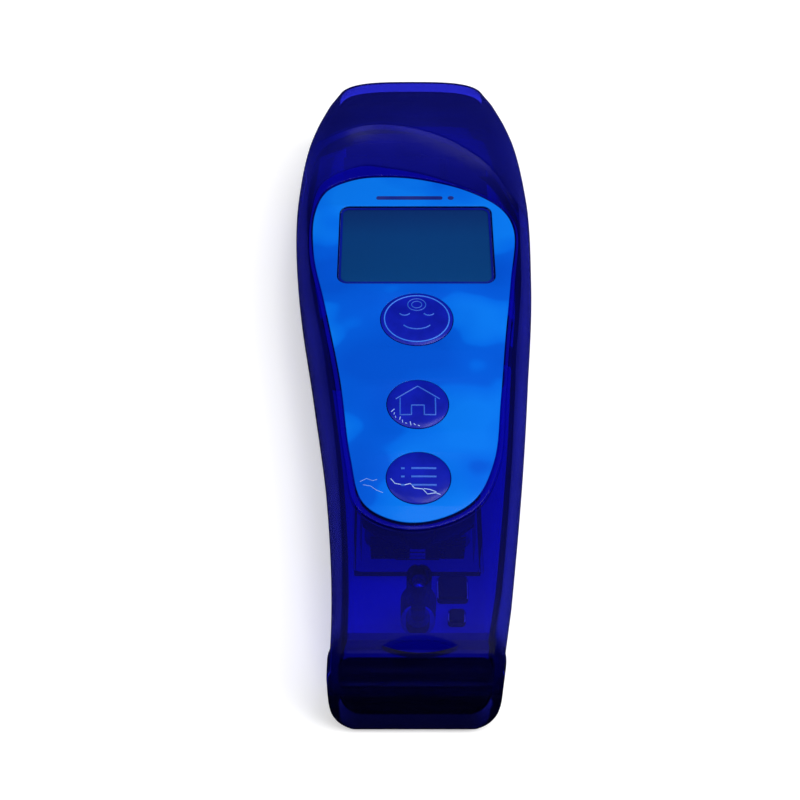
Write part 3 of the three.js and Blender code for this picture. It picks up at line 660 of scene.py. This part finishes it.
MATERIALS = {
    "case": translucent("blue_case", (0.16, 0.17, 0.895), (0.026, 0.032, 0.78), 0.05, 0.15, 0.32),
    "inner": translucent("inner_plastic", (0.6, 0.62, 0.97), (0.02, 0.03, 0.6), 0.02, 0.05, 0.03,
                         1.06),
    "bracket": moulded("bracket_plastic", (0.03, 0.05, 0.10), (0.05, 0.08, 0.16), 0.5),
    "margin": translucent("clear_margin", (0.2, 0.2, 0.9), (0.006, 0.006, 0.6), 0.3, 0.3, 0.4),
    "label": label_material(),
    "button": button_material(),
    "icon": moulded("icon_ink", (0.015, 0.09, 0.55), (0.02, 0.12, 0.68), 0.4),
    "ring": moulded("ring_ink", (0.02, 0.16, 0.75), (0.03, 0.2, 0.85), 0.4),
    "border": moulded("dark_ink", (0.002, 0.01, 0.16), (0.004, 0.015, 0.22), 0.4),
    "edging": moulded("blue_edging", (0.004, 0.008, 0.30), (0.006, 0.012, 0.40), 0.4),
    # Painted highlight: pale strokes that stand for glints on creases in the clear film.
    "crease": moulded("crease_glint_paint", (0.25, 0.42, 0.85), (0.6, 0.75, 1.0), 0.25, 900, 0.00006),
    "window": window_material(),
    "lcd": lcd_material(),
    "black": moulded("black_plastic", (0.004, 0.004, 0.006), (0.012, 0.012, 0.016), 0.45),
    "tail": tail_material(),
    "rubber": moulded("soft_rubber", (0.010, 0.010, 0.012), (0.02, 0.02, 0.024), 0.75, 1200),
    "board": board_material(),
    "steel": moulded("plated_steel", (0.5, 0.51, 0.53), (0.66, 0.67, 0.69), 0.28, 1400,
                     0.00002, 1.0),
    "brass": moulded("gilt_horn", (0.6, 0.42, 0.14), (0.78, 0.57, 0.22), 0.2, 600, 0.00001, 1.0),
    "sleeve": battery_material(),
    "optics": lens_material(),
    "amber": moulded("amber_film", (0.42, 0.16, 0.02), (0.55, 0.24, 0.04), 0.4),
    "print": moulded("white_ink", (0.55, 0.62, 0.72), (0.7, 0.76, 0.84), 0.5),
}


def dress(piece, material, body, slot, *nodes):
    """Gives a new piece its material and its body, and hides the CAD nodes it stands for. The slot
    is not used.
    """
    piece.data.materials.clear()
    piece.data.materials.append(MATERIALS[material])
    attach(piece, body)
    if nodes:
        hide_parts(*nodes)
    return piece


# ---- Case ---------------------------------------------------------------------------------
def make_case():
    """Front shell, rear shell and cap, cut from one outer shape."""
    scoop = front_cut("scoop")
    outside = cut(body_loft("outside", 0, TAIL_Y, TIP_Y, 1.1), scoop, keep=True)
    cut(outside, tail_crease(0.9))
    cap = combine(duplicate(outside, "head_cap"), beyond_ridge("beyond", GAP / 2), "INTERSECT")
    cut(cap, body_loft("cap_inside", CAP_WALL, 5, TIP_Y - CAP_END_WALL, 0.4))

    body = cut(duplicate(outside, "body"), beyond_ridge("beyond", -GAP / 2))
    neck = body_loft("neck", NECK_INSET, 20, NECK_END_Y)
    cut(neck, duplicate(scoop, "low_scoop", (0, 0, -SCOOP_DEPTH)))
    combine(body, neck, "UNION")

    cavity = body_loft("cavity", WALL, TAIL_Y + WALL, CAVITY_END_Y, 0.8)
    cut(cavity, beyond_ridge("beyond", -3))
    combine(cavity, body_loft("neck_cavity", NECK_INSET + CAP_WALL, 10, NECK_END_Y + 2), "UNION")
    cut(cavity, duplicate(scoop, "lower_scoop", (0, 0, -FACE_WALL)))
    cut(body, cavity)
    for x, y in SCREW_PLACES.values():
        profile = [(REAR_BOSS_RADIUS, 0.4), (REAR_BOSS_RADIUS, PARTING_Z - 1),
                   (FRONT_BOSS_RADIUS, PARTING_Z), (FRONT_BOSS_RADIUS, FACE_Z - 1)]
        boss = lathe("boss", profile, (x, y, 0), "Z", 48)
        combine(body, combine(boss, outside, "INTERSECT", keep=True), "UNION")
        cut(body, rod("pilot", x, y, PILOT_RADIUS, 3, 20))
        cut(body, rod("counterbore", x, y, COUNTERBORE_RADIUS, -1, 4))
    discard(scoop)
    discard(outside)

    front = duplicate(body, "front_case")
    combine(front, block("upper", (-60, -120, PARTING_Z + GAP / 2), (60, 120, 60)), "INTERSECT")
    combine(body, block("lower", (-60, -120, -20), (60, 120, PARTING_Z - GAP / 2)), "INTERSECT")
    body.name = "rear_case"
    return front, body, cap


def button_hole(size):
    """Outline of the hole round a button."""
    return ellipse(0, size["y"], size["width"] + 2 * KEY_GAP, size["length"] + 2 * KEY_GAP)


def finish_front(front):
    cut(front, prism("recess", closed_spline(MARGIN_OUTLINE), LABEL_RECESS_Z, 40))
    opening = rounded_rectangle(0, WINDOW["y"], WINDOW["width"] - 1, WINDOW["height"] - 1, 1.5)
    cut(front, prism("opening", opening, 15, 40))
    cut(front, prism("slot", strap_slot(), 18, 30))
    for size in BUTTONS.values():
        cut(front, prism("pocket", button_hole(size), FACE_Z - 1.4, 40))
        cut(front, rod("stem_hole", 0, size["y"], 2.4, 15, 40))
    dress(smooth(front), "case", "body", "blue_case", "front_shell")


def finish_rear(rear):
    edge = DOOR["half"] + DOOR_GAP
    low, high = (-edge, DOOR["tail"] - DOOR_GAP, -1), (edge, DOOR["head"] + GAP, 4)
    cut(rear, block("door_hole", low, high))
    for plug in PLUGS.values():
        size = (plug["width"] + 2 * GAP, plug["length"] + 2 * GAP)
        cut(rear, prism("plug_hole", rounded_rectangle(plug["x"], plug["y"], *size, 0.8), -1, 4))
    dress(smooth(rear), "case", "body", "blue_case", "rear_shell")


def strap_slot():
    """Eye-shaped outline of the slot for a wrist strap."""
    points = []
    for i in range(24):
        t = i / 24
        points.append((-6.8 + 13.6 * t, -75.4 + 8 * t * (1 - t)))
    for i in range(24):
        t = i / 24
        points.append((6.8 - 13.6 * t, -75.4 - 5.6 * t * (1 - t)))
    return points


front_case, rear_case, head_cap = make_case()
finish_front(front_case)
finish_rear(rear_case)
dress(smooth(head_cap), "case", "cap", "blue_case", "protective_cap")


def make_tail_insert():
    """A block behind the end face, with a rib across the front for the wrist strap."""
    rib, bottom, top = TAIL_INSERT["rib"], TAIL_INSERT["bottom"], TAIL_INSERT["top"]
    insert = body_loft("tail_block", WALL + GAP, TAIL_Y + WALL + GAP, -66, 0.8)
    room = block("room", (-30, -90, bottom), (30, rib, FACE_Z - FACE_WALL - GAP))
    combine(insert, room, "INTERSECT")
    cut(insert, block("strap_room", (-30, -90, top), (30, rib - TAIL_INSERT["rib_thick"], 30)))
    cut(insert, prism("notch", ellipse(0, -76.8, 6.4, 4), top - 1, top + 2))
    dress(smooth(bevel(insert, 0.25)), "tail", "body", "black_plastic", "tail_insert")


make_tail_insert()


# ---- Front face ---------------------------------------------------------------------------
FILM = (FACE_Z - 0.4, FACE_Z)
LABEL_MIDDLE_Y = -4


def scaled(points, share):
    """An outline made larger or smaller about the middle of the label."""
    return [(x * share, LABEL_MIDDLE_Y + (y - LABEL_MIDDLE_Y) * share) for x, y in points]


def make_label():
    """The printed film, with holes for the window and the buttons, and the clear film round it."""
    window = (0, WINDOW["y"], WINDOW["width"] + 2 * GAP, WINDOW["height"] + 2 * GAP)
    holes = [rounded_rectangle(*window, WINDOW["corner"] + GAP)]
    holes += [button_hole(size) for size in BUTTONS.values()]
    film = flat_piece("label_film", [closed_spline(LABEL_OUTLINE), *holes], *FILM, 0.1)
    dress(film, "label", "body", "printed_label", "front_label")
    inner = scaled(closed_spline(LABEL_OUTLINE), 1.016)
    outer = scaled(closed_spline(MARGIN_OUTLINE), 1 / 1.012)
    margin = flat_piece("margin_film", [outer, inner], *FILM, 0.1)
    dress(margin, "margin", "body", "clear_blue", "label_margin")


def make_window():
    """The clear pane, the dark line under its edge and the display's front film."""
    y, width, height = WINDOW["y"], WINDOW["width"], WINDOW["height"]
    outer = rounded_rectangle(0, y, width, height, WINDOW["corner"])
    pane = flat_piece("pane", [outer], *FILM, 0.08)
    dress(pane, "window", "body", "display_glass", "display_window")
    inner = rounded_rectangle(0, y, width - 1.1, height - 1.1, 1.5)
    border = flat_piece("window_border", [outer, inner], FILM[0] - 0.13, FILM[0] - 0.03)
    dress(border, "edging", "body", "display_glass")
    film = flat_piece("polariser_film", [rounded_rectangle(0, y, width - 0.2, height - 0.2, 1.9)],
                      LABEL_RECESS_Z + 0.02, FILM[0] - 0.16)
    dress(film, "lcd", "body", "lcd")


def dome_height(reach):
    """Height of a button's dome above the face, by the share of the way out to its edge."""
    return 0.45 - 0.2 * reach ** 2 - 0.22 * reach ** 12


def make_button(name, size):
    reaches = np.sin(np.linspace(90, 3, 22) * math.pi / 180)
    levels = [(1, FILM[0] - 0.1)] + [(reach, FACE_Z + dome_height(reach)) for reach in reaches]
    rings = []
    for reach, height in levels:
        outline = ellipse(0, size["y"], size["width"] * reach, size["length"] * reach, 96)
        rings.append([(x, y, height) for x, y in outline[::-1]])
    cap = smooth(loft(f"{name}_dome", rings), 50)
    stem = rod("stem", 0, size["y"], 2, 22.1, FACE_Z - 0.05)
    combine(cap, stem, "UNION")
    smooth(cap, 50)
    dress(cap, "button", f"{name}_key", "button_film", f"{name}_button")


def on_button(size, points, lift=0.0):
    """Points given from a button's centre, laid on its dome."""
    result = []
    for x, y in points:
        reach = min(math.hypot(2 * x / size["width"], 2 * y / size["length"]), 1)
        result.append((x, y + size["y"], FACE_Z + dome_height(reach) + lift))
    return result


def arc(x, y, width, length, start, end, steps=20):
    angles = np.radians(np.linspace(start, end, steps))
    return [(x + width / 2 * math.cos(a), y + length / 2 * math.sin(a)) for a in angles]


def fine(points, steps=6, closed=False):
    """The same path with extra points, so that it follows the dome between its corners."""
    ends = points[1:] + points[:1] if closed else points[1:]
    result = []
    for (x0, y0), (x1, y1) in zip(points, ends):
        result += [(x0 + (x1 - x0) * i / steps, y0 + (y1 - y0) * i / steps) for i in range(steps)]
    return result if closed else result + [points[-1]]


def make_face_icon():
    size = BUTTONS["face"]
    ring = on_button(size, ellipse(0, 0, 13.9, 12.6, 96))
    dress(line("face_ring", [ring], 0.16, True), "ring", "face_key", "button_film")
    target = [on_button(size, ellipse(0, 3.7, width, width * 0.86, 40)) for width in (3.9, 2.2)]
    dress(line("face_target", target, 0.12, True), "icon", "face_key", "button_film")
    paths = [arc(-2.6, 1.5, 2.2, 1.6, 200, 340), arc(2.6, 1.5, 2.2, 1.6, 200, 340),
             arc(0, -1.2, 6.2, 3.6, 205, 335)]
    strokes = [on_button(size, path) for path in paths]
    dress(line("face_strokes", strokes, 0.17), "icon", "face_key", "button_film")


def make_home_icon():
    size = BUTTONS["home"]
    walls = [(-3.6, 1.2), (-3.6, -2.9), (-1.3, -2.9), (-1.3, -0.6), (1.3, -0.6), (1.3, -2.9),
             (3.6, -2.9), (3.6, 1.2)]
    roof = [(-4.5, 1.0), (0, 4.2), (4.5, 1.0)]
    strokes = [on_button(size, fine(walls)), on_button(size, fine(roof))]
    dress(line("home_strokes", strokes, 0.17), "icon", "home_key", "button_film")


def make_memory_icon():
    """A plain list: three short marks, each with a line beside it."""
    size = BUTTONS["memory"]
    strokes = []
    for y in (1.9, 0, -1.9):
        strokes.append(on_button(size, fine([(-3.4, y), (-2.7, y)])))
        strokes.append(on_button(size, fine([(-1.4, y), (3.5, y)])))
    dress(line("memory_strokes", strokes, 0.24), "icon", "memory_key", "button_film")


def make_brand_bar():
    """A plain bar and dot where the maker's line would be."""
    bar = flat_piece("name_bar", [rounded_rectangle(-1.4, 35.2, 15.4, 1.1, 0.5)],
                     FACE_Z - 0.02, FACE_Z + 0.04)
    dress(bar, "border", "body", "printed_label")
    dot = flat_piece("name_dot", [ellipse(8.2, 35.2, 1.4, 1.2, 32)], FACE_Z - 0.02, FACE_Z + 0.04)
    dress(dot, "border", "body", "printed_label")


def make_crease_glints():
    """Small creases in the clear film, along the lower edges of two buttons and on the label,
    coloured pale as painted highlights.
    """
    home, memory = BUTTONS["home"], BUTTONS["memory"]
    dashes = []
    for i in range(9):
        angle = math.radians(198 + i * 9)
        near, far = 0.80 + 0.05 * (i % 3), 0.93 - 0.03 * (i % 2)
        half = (home["width"] / 2, home["length"] / 2)
        start = (half[0] * near * math.cos(angle), half[1] * near * math.sin(angle))
        turn = angle + 0.07
        end = (half[0] * far * math.cos(turn), half[1] * far * math.sin(turn))
        dashes.append(on_button(home, fine([start, end], 3), 0.02))
    dress(line("home_crease_glints", dashes, 0.1), "crease", "home_key", "button_film")
    fold = [(-5.4, -0.4), (-4.6, -1.5), (-2.9, -1.9), (-1.6, -1.6), (-0.8, -2.6), (0.8, -2.8),
            (1.7, -3.9), (3.3, -3.6), (4.2, -3.9)]
    branch = [(1.0, -2.7), (2.2, -2.9), (3.4, -3.4)]
    folds = [on_button(memory, fine(fold, 4), 0.02), on_button(memory, fine(branch, 4), 0.02)]
    dress(line("memory_crease_glints", folds, 0.09), "crease", "memory_key", "button_film")
    edge = [(-11.4, -41.6), (-10.1, -40.9), (-8.9, -41.4), (-8.1, -41.1)]
    second = [(-10.8, -42.3), (-9.3, -42.6), (-8.2, -43.5), (-6.9, -44.1)]
    paths = [[(x, y, FACE_Z + 0.02) for x, y in fine(path, 4)] for path in (edge, second)]
    dress(line("label_crease_glints", paths, 0.05), "crease", "body", "printed_label")


make_crease_glints()
make_label()
make_window()
for name, size in BUTTONS.items():
    make_button(name, size)
make_face_icon()
make_home_icon()
make_memory_icon()
make_brand_bar()


# ---- Back ---------------------------------------------------------------------------------
def make_door():
    half, tail, head, thick = DOOR["half"], DOOR["tail"], DOOR["head"], DOOR["thick"]
    middle, length = (tail + head) / 2, head - tail
    door = flat_piece("door_panel", [rounded_rectangle(0, middle, 2 * half, length, 1.2)],
                      0.02, thick, 0.3)
    for i in range(7):
        y = tail + 4 + i * 1.7
        groove = rounded_rectangle(0, y, 13 - abs(i - 3) * 1.2, 0.8, 0.39, 4)
        cut(door, prism("groove", groove, -1, 0.5))
    cut(door, prism("label_recess", rounded_rectangle(0, 12, 20, 44, 1.5), -1, 0.6))
    dress(smooth(door), "case", "door", "blue_case", "battery_door")
    label = flat_piece("back_label", [rounded_rectangle(0, 12, 19.4, 43.4, 1.2)], 0.12, 0.32, 0.05)
    dress(label, "label", "door", "printed_label", "rear_label")
    marks = []
    for i in range(9):
        width = 14 - 3.5 * ((i * 5) % 3) / 2
        marks.append(rounded_rectangle(-8 + width / 2, 28 - i * 3.4, width, 0.8, 0.35, 4))
    dress(flat_piece("back_marks", marks, 0.07, 0.14), "print", "door", "printed_label")


def make_plugs():
    for name, plug in PLUGS.items():
        outline = rounded_rectangle(plug["x"], plug["y"], plug["width"], plug["length"], 0.6)
        piece = flat_piece(f"{name}_cap", [outline], 0.2, 2.6, 0.25)
        dress(piece, "rubber", "body", "rubber", name)


def make_screw(name, x, y, top, tip, head, shank, down, *nodes):
    """A cross-recessed screw. Down is -1 for one put in from the back, 1 from the front."""
    head_height, pitch = 1.5, 0.9
    root = shank * 0.78
    profile = [(0.01, 0), (head * 0.7, 0.05), (head, 0.45), (head, head_height),
               (shank, head_height)]
    for i in range(int((tip - head_height - 1) / pitch)):
        start = head_height + 0.3 + i * pitch
        profile += [(shank, start), (root, start + pitch * 0.35), (shank, start + pitch * 0.7)]
    profile += [(shank, tip - 0.6), (shank * 0.3, tip)]
    profile = [(radius, top - down * along) for radius, along in profile]
    piece = lathe(f"{name}_fine", profile if down < 0 else profile[::-1], (x, y, 0), "Z", 40)
    low, high = sorted((top + down, top - down * 0.8))
    for half_x, half_y in ((0.28, 1.2), (1.2, 0.28)):
        cut(piece, block("recess", (x - half_x, y - half_y, low), (x + half_x, y + half_y, high)))
    dress(smooth(piece, 40), "steel", "body", "steel", *nodes)


make_door()
make_plugs()
for name, (x, y) in SCREW_PLACES.items():
    make_screw(f"case_screw_{name}", x, y, 1.6, 17.2, 2.1, 1.1, -1, f"case_screw_{name}")
for name, y in (("tail", -31.5), ("head", 39)):
    make_screw(f"board_screw_{name}", 0, y, 19.5, 4.2, 1.9, 0.95, 1, f"board_screw_{name}")


# ---- Measuring head -----------------------------------------------------------------------
OPTICS_Z = 12.5
TUBE_X = 12.6


def make_nose():
    nose = body_loft("nose_wall", NECK_INSET + CAP_WALL + GAP, NECK_END_Y - 1.8, NECK_END_Y - 0.2)
    cut(nose, lathe("bore", [(5.2, 60), (5.2, 80)], (0, 0, OPTICS_Z)))
    for x in (-TUBE_X, TUBE_X):
        cut(nose, lathe("bore", [(3, 60), (3, 80)], (x, 0, OPTICS_Z)))
    dress(smooth(nose), "inner", "body", "clear_blue", "nose_plate")


make_nose()


def make_sensor():
    """The infrared sensor's can and the gilt horn in front of it."""
    centre = (0, 0, OPTICS_Z)
    can = [(4.6, 59.4), (4.6, 60.3), (4.15, 60.4), (4.15, 63.1), (3.9, 63.4), (2.4, 63.4),
           (2.3, 63.2)]
    dress(smooth(lathe("sensor_can", can, centre)), "steel", "body", "steel", "ir_sensor")
    bore = [(4.3 - 2.3 * (i / 12) ** 0.6, 73.1 - 9.2 * i / 12) for i in range(13)]
    bore = [(2, 63), *reversed(bore), (4.4, 80)]
    horn = lathe("horn_outside", [(4.8, 63.8), (4.8, 73.0), (4.6, 73.2)], centre)
    cut(horn, lathe("horn_bore", bore, centre))
    dress(smooth(horn), "brass", "body", "brass_horn", "sensor_horn")


def make_projector(side, x):
    """A tube with a lens in its front end and a lamp in its rear end."""
    place = (x, 0, OPTICS_Z)
    tube = lathe("tube", [(3.6, 52), (3.8, 52.2), (3.8, 68.8), (3.6, 69)], place)
    cut(tube, lathe("tube_bore", [(3, 50), (3, 80)], place))
    tube.name = f"{side}_tube"
    dress(smooth(tube), "black", "body", "black_plastic", f"{side}_projector_tube")
    front = [(2.7 * math.sin(a), 66.6 + 1.5 * math.cos(a)) for a in np.linspace(1.57, 0.02, 10)]
    lens = lathe(f"{side}_lens", [(0.02, 65.6), (1.5, 65.8), (2.7, 66.3), *front], place)
    dress(smooth(lens, 60), "optics", "body", "clear_lens", f"{side}_projector_lens")
    tip = [(2.1 * math.cos(a), 54.8 + 1.7 * math.sin(a)) for a in np.linspace(0, 1.55, 10)]
    base = [(2.5, 52.4), (2.6, 52.6), (2.6, 53.4), (2.1, 53.5)]
    lamp = lathe(f"{side}_lamp", [*base, *tip], place)
    dress(smooth(lamp, 45), "optics", "body", "clear_lens", f"{side}_led")


make_sensor()
make_projector("left", -TUBE_X)
make_projector("right", TUBE_X)


# ---- Batteries ----------------------------------------------------------------------------
def make_cells():
    """Four AAA cells in the places of the CAD cells, with rounded shoulders and a button end."""
    for end in ("tail", "head"):
        for side, column in (("left", -1), ("right", 1)):
            node = f"cell_{end}_{side}"
            low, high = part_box(node)
            y0, y1 = low[1] / MM, high[1] / MM
            profile = [(3.2, 0), (4.2, 0.05), (4.6, 0.35), (5.0, 0.45), (5.25, 0.8), (5.25, 42.4),
                       (5.05, 42.8), (4.4, 43.1), (3.6, 43.2), (2.2, 43.3), (1.9, 43.5),
                       (1.9, 44.3), (1.7, 44.5)]
            if column > 0:
                profile = [(radius, y0 + along) for radius, along in profile]
            else:
                profile = [(radius, y1 - along) for radius, along in profile][::-1]
            centre = ((low[0] + high[0]) / 2 / MM, 0, (low[2] + high[2]) / 2 / MM)
            cell = lathe(f"{node}_fine", profile, centre)
            dress(smooth(cell, 28), "sleeve", "body", "battery_sleeve", node)


make_cells()

# CAD nodes that keep their shape get only a material.
CARRIED = {
    "lcd": ["lcd_panel"],
    "black": ["lcd_frame", "face_switch", "home_switch", "memory_switch", "microcontroller",
              "memory_chip", "buzzer"],
    "bracket": ["optics_bracket"],
    "inner": ["battery_cradle"],
    "board": ["main_board", "sensor_board"],
    "steel": ["crystal_can", "contact_tail_left", "contact_head_left", "contact_tail_right",
              "contact_head_right"],
    "amber": ["zebra_strip", "flex_cable"],
}
for material, nodes in CARRIED.items():
    for node in nodes:
        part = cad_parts[node]
        for slot in part.material_slots:
            slot.material = MATERIALS[material]


# ---- Floor, light and camera --------------------------------------------------------------
FLOOR_HALF = 2500             # millimetres
CAMERA_PLACE = (-0.0036, -0.156911, 0.217173)
CAMERA_TILT = 35              # degrees from straight down
SENSOR_WIDTH = 36
FOCAL_LENGTH = 51.75


def make_floor():
    n = Nodes("pale_floor")
    shader = n.principled(Base_Color=(0.9, 0.9, 0.9, 1), Roughness=0.9,
                          Emission_Color=(1, 1, 1, 1), Emission_Strength=0.3)
    floor = block("floor", (-FLOOR_HALF, -FLOOR_HALF, -21), (FLOOR_HALF, FLOOR_HALF, -1))
    floor.data.materials.append(n.finish(shader))
    floor.visible_glossy = False


def area_light(name, place, aim, size, power):
    """A white rectangular soft box, aimed at a point."""
    light = bpy.data.lights.new(name, "AREA")
    light.shape = "RECTANGLE"
    light.size, light.size_y = size
    light.energy = power
    holder = bpy.data.objects.new(name, light)
    bpy.context.scene.collection.objects.link(holder)
    holder.location = place
    holder.rotation_euler = (Vector(aim) - Vector(place)).to_track_quat("-Z", "Y").to_euler()


def make_world(strength):
    """Even white light from all sides, left out of reflections."""
    world = bpy.data.worlds.new("studio")
    world.use_nodes = True
    world.node_tree.nodes["Background"].inputs["Color"].default_value = (1, 1, 1, 1)
    world.node_tree.nodes["Background"].inputs["Strength"].default_value = strength
    world.cycles_visibility.glossy = False
    bpy.context.scene.world = world


def make_camera():
    data = bpy.data.cameras.new("camera")
    data.sensor_width = SENSOR_WIDTH
    data.lens = FOCAL_LENGTH
    data.clip_start = 0.01
    camera = bpy.data.objects.new("camera", data)
    camera.location = CAMERA_PLACE
    camera.rotation_euler = (math.radians(CAMERA_TILT), 0, 0)
    bpy.context.scene.collection.objects.link(camera)
    bpy.context.scene.camera = camera


make_floor()
make_world(0.12)
area_light("right_key", (0.5, -0.1, 0.8), (0, 0, 0), (0.6, 0.9), 7.5)
area_light("left_key", (-0.5, -0.1, 0.8), (0, 0, 0), (0.5, 0.9), 2.3)
area_light("top", (0.12, 0.05, 0.95), (0, 0.04, 0), (0.5, 0.35), 1.2)
area_light("low_front", (0, -0.75, 0.48), (0, -0.07, 0.02), (0.5, 0.1), 1.6)
make_camera()
bpy.context.scene.view_settings.view_transform = "Standard"
